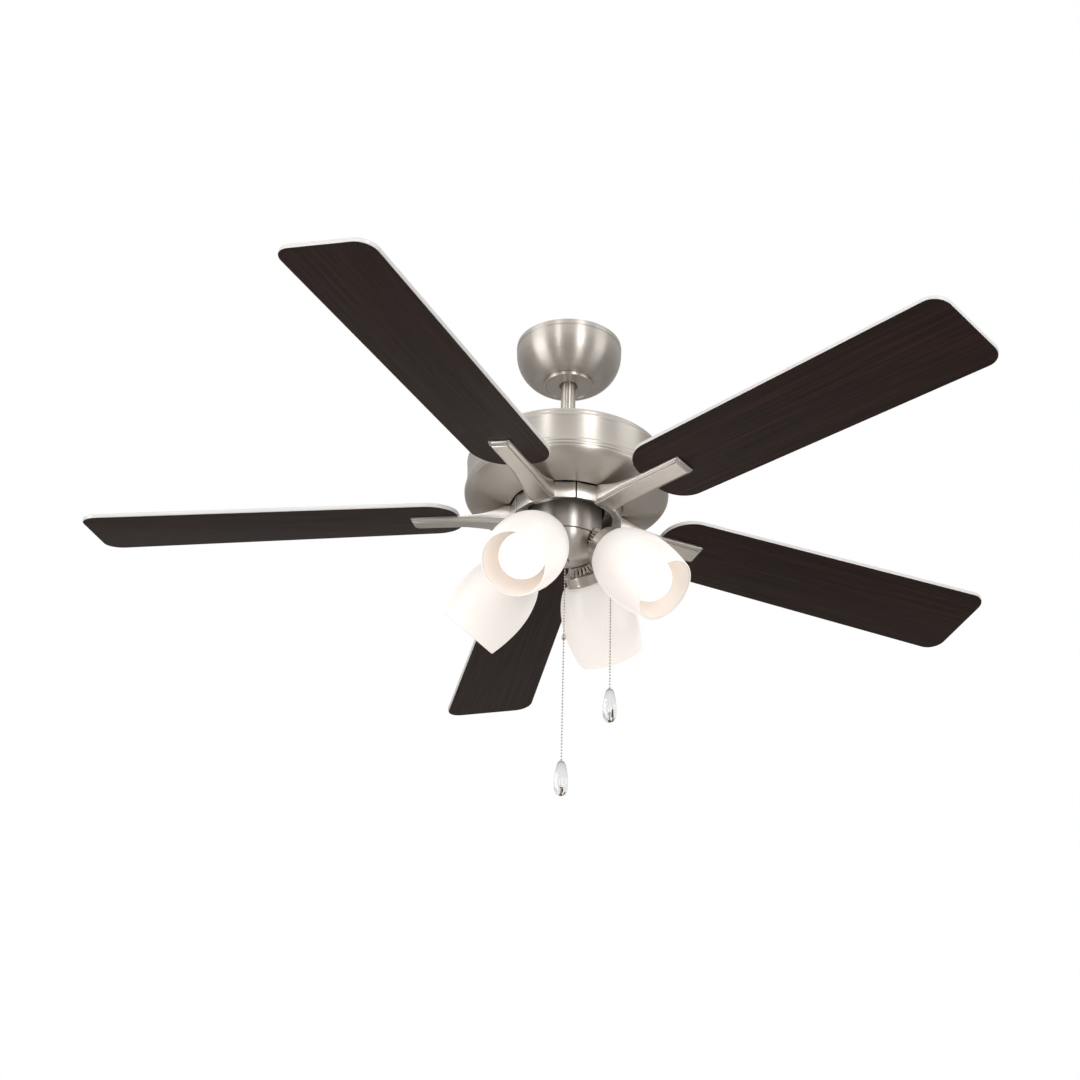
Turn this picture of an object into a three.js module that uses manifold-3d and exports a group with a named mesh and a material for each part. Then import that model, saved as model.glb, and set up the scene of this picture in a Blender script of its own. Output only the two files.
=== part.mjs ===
// Ceiling fan with a four-shade light kit, 52 inch (1.31 m) sweep.
// Millimetres, +Z up. The origin is the ceiling plane on the fan's axis.
import * as THREE from 'three';
import { mergeVertices } from 'three/addons/utils/BufferGeometryUtils.js';
import Module from 'manifold-3d';

const wasm = await Module();
wasm.setup();

// ---- driving dimensions -------------------------------------------------
const BLADE_PLANE = -271;        // underside of the blades on the axis, below the ceiling
const GAP = 0.3;                 // clearance between pieces that touch
const SHEET = 1.2;               // sheet metal thickness of the covers

const BLADE_COUNT = 5;
const BLADE_PHASE = 171.9;       // azimuth of the first blade, degrees
const BLADE_PITCH = -11.26;      // twist about the blade's length, degrees
const BLADE_RISE = 0.80;         // upward cant of the blade, degrees
const BLADE_ROOT = 143;
const BLADE_TIP = 655;
const BLADE_THICK = 6;
const BLADE_MID = 4.5;           // blade centre line beside the radial line
const BLADE_HALF_ROOT = 57;      // half width at the root
const BLADE_HALF_TIP = 67.5;
const BLADE_ROOT_RADIUS = 42;
const BLADE_TIP_RADIUS = 25;

const IRON_TIP = 208;            // radius that the blade irons reach
const IRON_HALF = 16.5;          // half width of an iron under its blade
const FOOT_R = 75;               // outer corner radius of the ring of iron feet
const FOOT_INNER = 62;
const FOOT_TOP = 10.4;
const FOOT_BOTTOM = -13;
const LIP_INNER = 52;            // inner lip that is screwed to the flywheel

const BALL_Z = 235;              // hanger ball centre, above the blade plane
const BALL_R = 22.5;
const ROD_R = 10;
const ROD_BORE = 8.4;
const ROD_TOP = 253;
const ROD_END = 113;
const PIN_R = 3;
const COUPLING_PIN_Z = 126;
const SHAFT_R = 8;

const LIGHT_COUNT = 4;
const LIGHT_PHASE = 63.2;        // azimuth of the first shade, degrees
const LIGHT_DIP = 44.5;          // shade axis below the horizontal, degrees
const LIGHT_SEAT_R = 64.6;       // where a shade's top meets its fitter: radius
const LIGHT_SEAT_Z = -65.1;      // and height
const SHADE_LENGTH = 112.6;
const GLASS = 3;                 // shade wall thickness

const HOUSING_R = 47.8;          // switch housing
const HOUSING_TOP = 8;
const SEAM_Z = -41;              // between the switch housing and the light pan
const PAN_BOTTOM = -68;

const CHAIN_R = 1.2;
const PENDANT_LENGTH = 48;
const PENDANT_R = 9;
const GUIDE_AZIMUTH = 18.2;      // light chain guide, between two fitters
const GUIDE_Z = -24;
const SWITCH_AZIMUTH = 108.2;    // reverse switch, on the far side

const deg = THREE.MathUtils.degToRad;

// ---- materials ----------------------------------------------------------
const material = (color, roughness, metalness) =>
  new THREE.MeshStandardMaterial({ color, roughness, metalness });
const nickel = material(0xb4aea5, 0.35, 1.0);
const steel = material(0x8f9092, 0.45, 1.0);
const aluminium = material(0xb9bbbd, 0.4, 1.0);
const copper = material(0xa4552b, 0.4, 1.0);
const rubber = material(0x1d1d1e, 0.8, 0.0);
const plastic = material(0x26262a, 0.6, 0.0);
const bladeWood = material(0x2b2120, 0.55, 0.0);
const opal = material(0xf7efe9, 0.3, 0.0);
const bulbGlass = material(0xffffff, 0.3, 0.0);
const ceramic = material(0xe9e6df, 0.5, 0.0);
const crystal = material(0xd9dcdd, 0.1, 0.0);

// ---- geometry helpers ---------------------------------------------------
function signedVolume(position, index) {
  const [a, b, c] = [0, 1, 2].map(() => new THREE.Vector3());
  let total = 0;
  for (let i = 0; i < index.length; i += 3) {
    a.fromBufferAttribute(position, index[i]);
    b.fromBufferAttribute(position, index[i + 1]);
    c.fromBufferAttribute(position, index[i + 2]);
    total += a.dot(b.cross(c));
  }
  return total;
}

// Merges shared vertices, drops collapsed triangles and turns the faces out.
function closed(geometry) {
  geometry.deleteAttribute('normal');
  geometry.deleteAttribute('uv');
  const merged = mergeVertices(geometry, 1e-4);
  const source = merged.index.array;
  const index = [];
  for (let i = 0; i < source.length; i += 3) {
    const [a, b, c] = [source[i], source[i + 1], source[i + 2]];
    if (a !== b && b !== c && c !== a) index.push(a, b, c);
  }
  if (signedVolume(merged.attributes.position, index) < 0) index.reverse();
  merged.setIndex(index);
  return merged;
}

function toSolid(geometry) {
  return new wasm.Manifold(new wasm.Mesh({
    numProp: 3,
    vertProperties: new Float32Array(geometry.attributes.position.array),
    triVerts: new Uint32Array(geometry.index.array),
  }));
}

function fromSolid(solid) {
  const mesh = solid.getMesh();
  const geometry = new THREE.BufferGeometry();
  geometry.setAttribute('position', new THREE.BufferAttribute(mesh.vertProperties, 3));
  geometry.setIndex(Array.from(mesh.triVerts));
  return geometry;
}

const cut = (body, ...tools) =>
  fromSolid(tools.reduce((left, tool) => left.subtract(toSolid(tool)), toSolid(body)));
const join = (first, ...others) =>
  fromSolid(others.reduce((sum, other) => sum.add(toSolid(other)), toSolid(first)));

// Revolves an outline of [radius, height] points about Z. It is closed on
// itself unless it starts and ends on the axis.
function turned(outline, segments = 32) {
  const points = outline.map(([r, z]) => new THREE.Vector2(r, z));
  const onAxis = outline[0][0] === 0 && outline.at(-1)[0] === 0;
  if (!onAxis) points.push(points[0].clone());
  return closed(new THREE.LatheGeometry(points, segments).rotateX(Math.PI / 2));
}

// A cover of even thickness: the outline runs along its outside, with the
// inside on its left.
function shell(outline, thickness = SHEET, segments = 32) {
  const inside = outline.map((point, i) => {
    const before = outline[Math.max(i - 1, 0)];
    const after = outline[Math.min(i + 1, outline.length - 1)];
    const [dr, dz] = [after[0] - before[0], after[1] - before[1]];
    const scale = thickness / Math.hypot(dr, dz);
    return [point[0] - dz * scale, point[1] + dr * scale];
  });
  return turned([...outline, ...inside.reverse()], segments);
}

const box = (sx, sy, sz, x = 0, y = 0, z = 0) =>
  closed(new THREE.BoxGeometry(sx, sy, sz).translate(x, y, z));
const ring = (inner, outer, low, high, segments = 32) =>
  turned([[inner, low], [outer, low], [outer, high], [inner, high]], segments);
const disc = (radius, low, high, segments = 32) =>
  turned([[0, low], [radius, low], [radius, high], [0, high]], segments);
const rodAlongX = (radius, length, z, segments = 16) =>
  disc(radius, -length / 2, length / 2, segments).rotateY(Math.PI / 2).translate(0, 0, z);
const rodAlongY = (radius, length, z, segments = 16) =>
  disc(radius, -length / 2, length / 2, segments).rotateX(Math.PI / 2).translate(0, 0, z);

// Joins rows of equally many points into one skinned body with flat ends.
function loft(sections) {
  const count = sections[0].length;
  const positions = sections.flat(2);
  const index = [];
  for (let s = 0; s + 1 < sections.length; s += 1) {
    for (let i = 0; i < count; i += 1) {
      const a = s * count + i;
      const b = s * count + ((i + 1) % count);
      index.push(a, b, b + count, a, b + count, a + count);
    }
  }
  const last = (sections.length - 1) * count;
  for (let i = 1; i + 1 < count; i += 1) {
    index.push(0, i + 1, i, last, last + i, last + i + 1);
  }
  const geometry = new THREE.BufferGeometry();
  geometry.setAttribute('position', new THREE.Float32BufferAttribute(positions, 3));
  geometry.setIndex(index);
  return closed(geometry);
}

// A tube along a list of points, with a ring of corners at about every step.
function tube(points, radius, step = 6) {
  const path = new THREE.CatmullRomCurve3(points.map((p) => new THREE.Vector3(...p)));
  const section = new THREE.Shape();
  for (let i = 0; i < 8; i += 1) {
    const angle = (i / 8) * 2 * Math.PI;
    const [x, y] = [radius * Math.cos(angle), radius * Math.sin(angle)];
    if (i === 0) section.moveTo(x, y);
    else section.lineTo(x, y);
  }
  const steps = Math.max(2, Math.round(path.getLength() / step));
  return closed(new THREE.ExtrudeGeometry(section, { steps, extrudePath: path }));
}

const object = new THREE.Group();
const fan = new THREE.Group();
fan.position.z = BLADE_PLANE;
object.add(fan);

function add(name, geometry, finish, parent = fan) {
  const mesh = new THREE.Mesh(geometry, finish);
  mesh.name = name;
  parent.add(mesh);
  return mesh;
}

function turnedGroup(azimuth, parent = fan) {
  const group = new THREE.Group();
  group.rotation.z = deg(azimuth);
  parent.add(group);
  return group;
}

// ---- ceiling mount ------------------------------------------------------
const CEILING = -BLADE_PLANE;
const CANOPY_BOTTOM = 210;

function hangerBracket() {
  const plateTop = CEILING;
  const cradleZ = BALL_Z - 10;
  const legX = 46;
  const seat = turned([
    [18.0, BALL_Z - 14.2], [20.6, BALL_Z - 10.2], [22.4, BALL_Z - 5.6],
    [27.5, BALL_Z - 5.6], [27.5, BALL_Z - 14.2],
  ], 24);
  const cradle = cut(box(2 * legX, 44, 2.6, 0, 0, cradleZ), disc(27, cradleZ - 5, cradleZ + 5));
  const legHeight = plateTop - cradleZ + 1.3;
  const legs = [-1, 1].map((side) =>
    box(3, 44, legHeight, side * legX, 0, plateTop - legHeight / 2));
  const whole = join(box(112, 50, 2.4, 0, 0, plateTop - 1.2), cradle, seat, ...legs);
  const entry = box(23, 40, 20, 0, -20, cradleZ);
  const slots = [-1, 1].map((side) => box(12, 5, 6, side * 30, 0, plateTop - 1));
  return cut(whole, entry, ...slots);
}
add('hanger_bracket', hangerBracket(), steel);

const canopyOutline = [
  [71.8, CEILING - 0.5], [72.6, CEILING - 6], [72.4, 252], [69.6, 240], [62.5, 226], [51, 214.8],
  [39, CANOPY_BOTTOM], [15, CANOPY_BOTTOM],
];
add('canopy', shell(canopyOutline.toReversed()), nickel);
add('canopy_ring', turned([
  [12.8, 206], [31.2, 206], [32.2, 204.8], [33.8, 204.8], [34.6, 206], [34.6, 209.7], [12.8, 209.7],
]), nickel);

// ---- hanger ball and downrod --------------------------------------------
const arc = (radius, centreZ, from, to, steps) =>
  Array.from({ length: steps + 1 }, (_, i) => {
    const angle = deg(from + ((to - from) * i) / steps);
    return [radius * Math.cos(angle), centreZ + radius * Math.sin(angle)];
  });
const ballBore = 11.6;
const ballEdge = THREE.MathUtils.radToDeg(Math.acos(ballBore / BALL_R));
add('hanger_ball', cut(
  turned(arc(BALL_R, BALL_Z, -ballEdge, ballEdge, 8), 20),
  rodAlongY(PIN_R + GAP, 60, BALL_Z),
), rubber);
add('hanger_pin', rodAlongY(PIN_R, 38, BALL_Z), steel);
add('downrod', cut(
  ring(ROD_BORE, ROD_R, ROD_END, ROD_TOP, 24),
  rodAlongY(PIN_R + GAP, 60, BALL_Z),
  rodAlongX(PIN_R + GAP, 60, COUPLING_PIN_Z),
), nickel);

// ---- coupling and motor covers ------------------------------------------
const COVER_TOP = 98;            // top of the motor cover at its centre
add('coupling', cut(
  turned([
    [SHAFT_R + GAP, COVER_TOP + GAP], [30, COVER_TOP + GAP], [30, COVER_TOP + 4], [16.5, COVER_TOP + 6],
    [16.5, 138], [ROD_R + GAP, 138], [ROD_R + GAP, ROD_END - 2], [SHAFT_R + GAP, ROD_END - 2],
  ], 24),
  rodAlongX(PIN_R + GAP, 60, COUPLING_PIN_Z),
), steel);
add('coupling_pin', rodAlongX(PIN_R, 40, COUPLING_PIN_Z), steel);
add('coupling_cover', shell([
  [ROD_R + 0.6, 150], [15, 149.6], [24, 141], [31, 124], [34, COVER_TOP + 2.2],
].toReversed(), SHEET, 24), nickel);

add('motor_housing', shell([
  [135.4, 31.2], [137.3, 33.6], [135.4, 37], [135.9, 39.4], [134.3, 43], [134.6, 77], [130, 84.5],
  [127.6, 90.4], [118, 93.2], [60, COVER_TOP], [SHAFT_R + GAP, COVER_TOP],
]), nickel);
add('motor_bowl', shell([
  [77, 12], [92, 12.2], [110, 15], [128, 20.6], [135.4, 26], [137, 30.8],
]), nickel);

// ---- motor: fixed shaft, stator and windings ----------------------------
const SHAFT_END = 0.5;
add('motor_shaft', ring(5, SHAFT_R, SHAFT_END, ROD_END - 2.6, 16), steel);

const SLOTS = 12;
const STATOR_LOW = 40;
const STATOR_HIGH = 58;
const slotBlocks = (width, low, high, from, to) =>
  Array.from({ length: SLOTS }, (_, i) =>
    box(to - from, width, high - low, (from + to) / 2, 0, (low + high) / 2)
      .rotateZ((i / SLOTS) * 2 * Math.PI));
add('stator_core', cut(
  ring(SHAFT_R + GAP, 62, STATOR_LOW, STATOR_HIGH, 24),
  ...slotBlocks(7, STATOR_LOW - 1, STATOR_HIGH + 1, 46, 70),
), steel);
add('stator_winding', join(
  ring(32, 56, STATOR_HIGH + GAP, STATOR_HIGH + 9, 24),
  ring(32, 56, STATOR_LOW - 9, STATOR_LOW - GAP, 24),
  ...slotBlocks(6, STATOR_LOW - 4, STATOR_HIGH + 4, 46.6, 55),
), copper);

// ---- rotor: bearings, shells and flywheel -------------------------------
const BEARING_R = 17;
add('lower_bearing', ring(SHAFT_R + GAP, BEARING_R, 22, 30, 16), steel);
add('upper_bearing', ring(SHAFT_R + GAP, BEARING_R, 69, 77, 16), steel);
add('rotor_bottom_shell', turned([
  [BEARING_R + GAP, 21], [26, 21], [26, 18.3], [42, 18.3], [42, 21], [84, 22.5], [90, 28.5], [90, 49],
  [87, 49], [87, 30], [82.5, 25.5], [23, 24.5], [23, 30], [BEARING_R + GAP, 30],
], 22), aluminium);
add('rotor_top_shell', turned([
  [BEARING_R + GAP, 69], [23, 69], [23, 73.5], [82.5, 72], [87, 68], [87, 49.3], [90, 49.3], [90, 69.5],
  [84, 75.5], [23, 78], [BEARING_R + GAP, 78],
], 22), aluminium);
add('flywheel', ring(24, 72, FOOT_TOP + GAP, 18, 32), rubber);

// ---- blades and blade irons ---------------------------------------------
const halfWidth = (u) => BLADE_HALF_ROOT
  + ((BLADE_HALF_TIP - BLADE_HALF_ROOT) * (u - BLADE_ROOT)) / (BLADE_TIP - BLADE_ROOT);

function bladeGeometry() {
  const outline = new THREE.Shape();
  const [rootR, tipR] = [BLADE_ROOT_RADIUS, BLADE_TIP_RADIUS];
  const [rootHalf, tipHalf] = [BLADE_HALF_ROOT, BLADE_HALF_TIP];
  outline.moveTo(BLADE_ROOT + rootR, -halfWidth(BLADE_ROOT + rootR));
  outline.lineTo(BLADE_TIP - tipR, -halfWidth(BLADE_TIP - tipR));
  outline.quadraticCurveTo(BLADE_TIP, -tipHalf, BLADE_TIP, -tipHalf + tipR);
  outline.lineTo(BLADE_TIP, tipHalf - tipR);
  outline.quadraticCurveTo(BLADE_TIP, tipHalf, BLADE_TIP - tipR, halfWidth(BLADE_TIP - tipR));
  outline.lineTo(BLADE_ROOT + rootR, halfWidth(BLADE_ROOT + rootR));
  outline.quadraticCurveTo(BLADE_ROOT, rootHalf, BLADE_ROOT, rootHalf - rootR);
  outline.lineTo(BLADE_ROOT, -rootHalf + rootR);
  outline.quadraticCurveTo(BLADE_ROOT, -rootHalf, BLADE_ROOT + rootR, -halfWidth(BLADE_ROOT + rootR));
  const flat = new THREE.ExtrudeGeometry(outline, {
    depth: BLADE_THICK, bevelEnabled: false, curveSegments: 8,
  });
  return closed(flat.translate(0, BLADE_MID, 0));
}

// One iron: [radius, half width, underside, top, share of the twist], heights from
// the blade's own plane, skinned from the ring of feet out to below the blade.
function ironGeometry() {
  const stations = [
    [66, 18.5, -14, 9, 0], [78, 18.5, -14, 9, 0], [90, 18, -12.6, 5, 0.15], [106, 17.5, -10.6, 1, 0.45],
    [124, 17, -8.8, -0.3, 0.8], [140, IRON_HALF, -7.6, -GAP, 1], [200, IRON_HALF, -7, -GAP, 1],
    [IRON_TIP, IRON_HALF - 1, -6.2, -GAP, 1],
  ];
  const bevel = 3.2;
  const undercut = 0.38;         // how fast a foot's underside rises inwards
  const rise = Math.tan(deg(BLADE_RISE));
  const arm = loft(stations.map(([u, half, low, high, twist]) => {
    const angle = deg(BLADE_PITCH * twist);
    const corners = [
      [-half, high], [-half, low + bevel], [-half + bevel, low],
      [half - bevel, low], [half, low + bevel], [half, high],
    ];
    return corners.map(([v, w]) => {
      const side = v + BLADE_MID * twist;
      return [
        u, side * Math.cos(angle) - w * Math.sin(angle),
        u * rise + side * Math.sin(angle) + w * Math.cos(angle),
      ];
    });
  }));
  const halfSpan = 180 / BLADE_COUNT - 0.2;
  const footOutline = (outer, inner, steps) => {
    const corners = steps.map((a) => [outer * Math.cos(deg(a)), outer * Math.sin(deg(a))]);
    for (let i = 0; i <= 8; i += 1) {
      const a = deg(halfSpan - (i / 4) * halfSpan);
      corners.push([inner * Math.cos(a), inner * Math.sin(a)]);
    }
    return corners;
  };
  const footAngles = [-halfSpan, -14.5, 14.5, halfSpan];
  const foot = new THREE.Shape(footOutline(FOOT_R, FOOT_INNER, footAngles)
    .map(([x, y]) => new THREE.Vector2(x, y)));
  const footBody = new THREE.ExtrudeGeometry(foot, {
    depth: FOOT_TOP - FOOT_BOTTOM, bevelEnabled: false,
  }).translate(0, 0, FOOT_BOTTOM);
  const points = footBody.attributes.position;
  for (let i = 0; i < points.count; i += 1) {
    if (points.getZ(i) < FOOT_BOTTOM + 1) {
      const radius = Math.hypot(points.getX(i), points.getY(i));
      points.setZ(i, FOOT_BOTTOM + (FOOT_R - radius) * undercut);
    }
  }
  const lip = new THREE.Shape(footOutline(FOOT_INNER + 2, LIP_INNER,
    [-halfSpan, -halfSpan / 2, 0, halfSpan / 2, halfSpan]).map(([x, y]) => new THREE.Vector2(x, y)));
  const lipBody = new THREE.ExtrudeGeometry(lip, { depth: 5, bevelEnabled: false })
    .translate(0, 0, FOOT_TOP - 5);
  return join(closed(footBody), closed(lipBody), arm);
}

const blade = bladeGeometry();
const iron = ironGeometry();
for (let k = 0; k < BLADE_COUNT; k += 1) {
  const group = turnedGroup(BLADE_PHASE + (k * 360) / BLADE_COUNT);
  const panel = add(`blade_${k + 1}`, blade, bladeWood, group);
  panel.rotation.order = 'YXZ';
  panel.rotation.set(deg(BLADE_PITCH), -deg(BLADE_RISE), 0);
  add(`blade_iron_${k + 1}`, iron, nickel, group);
}

// ---- switch housing and light pan ---------------------------------------
add('switch_plate', ring(SHAFT_R + GAP, HOUSING_R - 1.8, 3.5, 6.5, 32), steel);

const housingOutline = [[HOUSING_R - 0.6, SEAM_Z], [HOUSING_R, SEAM_Z + 1.5], [HOUSING_R, HOUSING_TOP]];
const switchSlot = box(12, 6.4, 15, HOUSING_R, 0, -20).rotateZ(deg(SWITCH_AZIMUTH));
add('switch_housing', cut(shell(housingOutline, 1.4), switchSlot), nickel);

const panOutline = [
  [4, PAN_BOTTOM], [12, -67.2], [26, -63.8], [37.5, -57], [44.2, -48.6], [46.8, SEAM_Z - GAP],
];
const fitterAxis = (azimuth) => new THREE.Matrix4()
  .makeRotationZ(deg(azimuth))
  .multiply(new THREE.Matrix4().makeTranslation(LIGHT_SEAT_R, 0, LIGHT_SEAT_Z))
  .multiply(new THREE.Matrix4().makeRotationY(deg(90 + LIGHT_DIP)));
const lightAzimuth = (k) => LIGHT_PHASE + (k * 360) / LIGHT_COUNT;
const wireHoles = Array.from({ length: LIGHT_COUNT }, (_, k) =>
  disc(3.2, -50, -15, 8).applyMatrix4(fitterAxis(lightAzimuth(k))));
add('light_pan', cut(shell(panOutline), ...wireHoles), nickel);

add('speed_switch', disc(15, -34, -6, 24).translate(-20, 12, 0), plastic);
add('light_switch', disc(11, -32, -8, 24).translate(24, 14, 0), plastic);
add('capacitor', box(42, 17, 30, 0, -30, -18), plastic);

const knob = join(box(10, 5.4, 5, 46, 0, -24.5), box(3, 9, 8, 43.5, 0, -24.5));
add('reverse_switch', knob, plastic, turnedGroup(SWITCH_AZIMUTH));

add('chain_bushing', turned([
  [1.9, -72], [4.2, -72], [5.4, -70.6], [5.4, PAN_BOTTOM - GAP], [3.6, PAN_BOTTOM - GAP],
  [3.6, PAN_BOTTOM + 3], [1.9, PAN_BOTTOM + 3],
], 16), nickel);
const guide = turned([
  [2.2, 0], [6, 0], [6, 1.8], [3.6, 2.6], [3.6, 9], [4.8, 11.5], [4, 12], [2.2, 9.5],
], 16).rotateY(Math.PI / 2).translate(HOUSING_R + GAP, 0, GUIDE_Z);
add('chain_guide', guide, nickel, turnedGroup(GUIDE_AZIMUTH));

// ---- light kit ----------------------------------------------------------
// Each light is built along its own +Z, which points out of the shade's mouth;
// its zero is the seat where the shade's top meets the fitter.
const shadeOutline = [
  [20.8, GAP], [28.4, GAP], [37, 9.6], [45.2, 27.6], [49.8, 49], [50.6, 66], [48.6, 88],
  [44, SHADE_LENGTH],
];
const shade = shell(shadeOutline, GLASS, 20);
const bulb = turned([
  [0, -7], [12.8, -4], [12.8, 25], [17.6, 41], [27.6, 63], [30, 78], [26, 95], [16, 105], [0, 108],
], 16);
const socket = turned([[0, -10.6], [19, -10.6], [19, 26], [14.4, 26], [14.4, -8], [0, -8]], 16);
const fitter = turned([
  [4, -37], [14.6, -37], [18, -23], [22, -17], [27.6, -14.6], [27.6, 0], [20, 0], [20, -11], [4, -11],
], 16);
const clearanceOutline = [
  [0, PAN_BOTTOM - GAP], ...panOutline.slice(1).map(([r, z]) => [r + GAP, z - GAP]),
  [HOUSING_R + GAP, SEAM_Z], [HOUSING_R + GAP, HOUSING_TOP], [0, HOUSING_TOP],
];
const housingSpace = turned(clearanceOutline);
for (let k = 0; k < LIGHT_COUNT; k += 1) {
  const place = fitterAxis(lightAzimuth(k));
  const placed = (geometry) => geometry.clone().applyMatrix4(place);
  add(`fitter_${k + 1}`, cut(placed(fitter), housingSpace), nickel);
  const light = new THREE.Group();
  light.applyMatrix4(place);
  fan.add(light);
  add(`lamp_socket_${k + 1}`, socket, ceramic, light);
  add(`shade_${k + 1}`, shade, opal, light);
  add(`bulb_${k + 1}`, bulb, bulbGlass, light);
}

// ---- pull chains --------------------------------------------------------
const pendantOutline = [
  [0, -PENDANT_LENGTH], [3.6, -PENDANT_LENGTH + 0.6], [7.4, -PENDANT_LENGTH + 4.4],
  [PENDANT_R, -PENDANT_LENGTH + 12], [PENDANT_R - 0.6, -20], [6.6, -8.6], [4.2, -2.4], [2, 0], [0, 0],
];
const pendant = turned(pendantOutline, 16);

const FAN_CHAIN_START = -72.4;
const CONNECTOR_Z = -178;
const CONNECTOR_LENGTH = 6.4;
const FAN_CHAIN_END = -356;
const straight = (x, y, from, to, count) =>
  Array.from({ length: count }, (_, i) => [x, y, from + ((to - from) * i) / (count - 1)]);
add('fan_chain_upper', tube(straight(0, 0, FAN_CHAIN_START, CONNECTOR_Z + GAP, 15), CHAIN_R), steel);
add('fan_chain_connector', turned([
  [0, CONNECTOR_Z - CONNECTOR_LENGTH], [2.8, CONNECTOR_Z - CONNECTOR_LENGTH], [3, CONNECTOR_Z - 3],
  [2, CONNECTOR_Z], [0, CONNECTOR_Z],
], 16), nickel);
add('fan_chain_lower', tube(
  straight(0, 0, CONNECTOR_Z - CONNECTOR_LENGTH - GAP, FAN_CHAIN_END, 20), CHAIN_R,
), steel);
add('fan_pendant', pendant, crystal).position.z = FAN_CHAIN_END - GAP;

const LIGHT_CHAIN_END = -244;
const lightChainR = 64.2;
const light = turnedGroup(GUIDE_AZIMUTH);
add('light_chain', tube([
  [HOUSING_R + 12.8, 0, GUIDE_Z], [62.4, 0, GUIDE_Z - 0.8], [63.7, 0, GUIDE_Z - 2.6],
  ...straight(lightChainR, 0, GUIDE_Z - 6, LIGHT_CHAIN_END, 20),
], CHAIN_R, 5), steel, light);
add('light_pendant', pendant, crystal, light).position.set(lightChainR, 0, LIGHT_CHAIN_END - GAP);

export default object;
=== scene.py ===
"""Ceiling fan with a four-shade light kit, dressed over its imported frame."""

import math

import bmesh
import bpy
from mathutils import Matrix, Vector


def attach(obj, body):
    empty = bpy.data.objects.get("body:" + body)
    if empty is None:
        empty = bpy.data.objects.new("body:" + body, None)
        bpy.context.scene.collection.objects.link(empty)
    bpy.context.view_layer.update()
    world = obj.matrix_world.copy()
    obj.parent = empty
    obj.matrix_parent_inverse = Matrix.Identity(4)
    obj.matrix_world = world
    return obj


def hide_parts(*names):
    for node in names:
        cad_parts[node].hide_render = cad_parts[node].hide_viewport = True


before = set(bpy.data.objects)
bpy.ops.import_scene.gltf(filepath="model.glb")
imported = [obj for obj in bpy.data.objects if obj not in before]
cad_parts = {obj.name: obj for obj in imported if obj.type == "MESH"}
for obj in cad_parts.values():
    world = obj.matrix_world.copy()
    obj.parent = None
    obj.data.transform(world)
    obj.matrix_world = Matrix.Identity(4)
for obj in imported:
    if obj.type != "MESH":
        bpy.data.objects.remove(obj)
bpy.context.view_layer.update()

# ---- driving dimensions --------------------------------------------------
# Pieces are drawn in millimetres, with heights measured from the blade plane.
MM = 0.001
BLADE_PLANE = -271.0             # underside of the blades on the axis, below the ceiling
CEILING = -BLADE_PLANE
GAP = 0.3                        # clearance between pieces that touch
SHEET = 1.2                      # thickness of the spun covers

BLADE_COUNT = 5
BLADE_PHASE = 171.9              # azimuth of the first blade
BLADE_PITCH = -11.26
BLADE_RISE = 0.80
BLADE_ROOT, BLADE_TIP = 143.0, 655.0
BLADE_HALF_ROOT, BLADE_HALF_TIP = 57.0, 67.5
BLADE_MID = 4.5                  # blade centre line beside the radial line
BLADE_THICK = 6.0
BLADE_ROOT_RADIUS, BLADE_TIP_RADIUS = 42.0, 25.0

FOOT_R, FOOT_INNER, LIP_INNER = 75.0, 62.0, 52.0
FOOT_TOP, FOOT_BOTTOM = 10.4, -13.0

LIGHT_COUNT = 4
LIGHT_PHASE = 63.2               # azimuth of the first shade
LIGHT_DIP = 44.5                 # shade axis below the horizontal
LIGHT_SEAT_R, LIGHT_SEAT_Z = 64.6, -65.1
SHADE_LENGTH = 112.6
GLASS = 3.0

HOUSING_R, HOUSING_TOP = 47.8, 8.0
SEAM_Z = -41.0                   # between the switch housing and the light pan
PAN_BOTTOM = -68.0
GUIDE_AZIMUTH, GUIDE_Z = 18.2, -24.0
SWITCH_AZIMUTH = 108.2

CHAIN_BEAD = 2.4                 # bead diameter
CHAIN_PITCH = 4.38
FAN_CHAIN_START, CONNECTOR_Z, CONNECTOR_LENGTH, FAN_CHAIN_END = -72.4, -178.0, 6.4, -356.0
LIGHT_CHAIN_R, LIGHT_CHAIN_END = 64.2, -244.0

SEAT = Matrix.Scale(MM, 4) @ Matrix.Translation((0, 0, BLADE_PLANE))


def around(azimuth, axis="Z"):
    return Matrix.Rotation(math.radians(azimuth), 4, axis)


def at(x, y, z):
    return Matrix.Translation((x, y, z))


# ---- camera --------------------------------------------------------------
CAMERA_DISTANCE = 3.1846         # from the blade plane on the axis, metres
CAMERA_BELOW = 29.77             # degrees under that point
CAMERA_YAW, CAMERA_PITCH, CAMERA_ROLL = -0.704, 29.184, 1.434
FOCAL_SHARE = 2379 / 1080        # focal length over the frame's width
SENSOR = 36.0


def set_camera():
    below = math.radians(CAMERA_BELOW)
    yaw, pitch, roll = map(math.radians, (CAMERA_YAW, CAMERA_PITCH, CAMERA_ROLL))
    ahead = Vector((math.sin(yaw) * math.cos(pitch), math.cos(yaw) * math.cos(pitch), math.sin(pitch)))
    level = ahead.cross(Vector((0, 0, 1))).normalized()
    raised = level.cross(ahead)
    right = math.cos(roll) * level + math.sin(roll) * raised
    top = math.cos(roll) * raised - math.sin(roll) * level
    turn = Matrix((right, top, -ahead)).transposed().to_4x4()
    back = Vector((0, -math.cos(below), -math.sin(below))) * CAMERA_DISTANCE
    data = bpy.data.cameras.new("viewpoint")
    data.sensor_width = SENSOR
    data.lens = SENSOR * FOCAL_SHARE
    camera = bpy.data.objects.new("viewpoint", data)
    camera.matrix_world = Matrix.Translation(back + Vector((0, 0, BLADE_PLANE * MM))) @ turn
    bpy.context.scene.collection.objects.link(camera)
    bpy.context.scene.camera = camera


set_camera()


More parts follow.
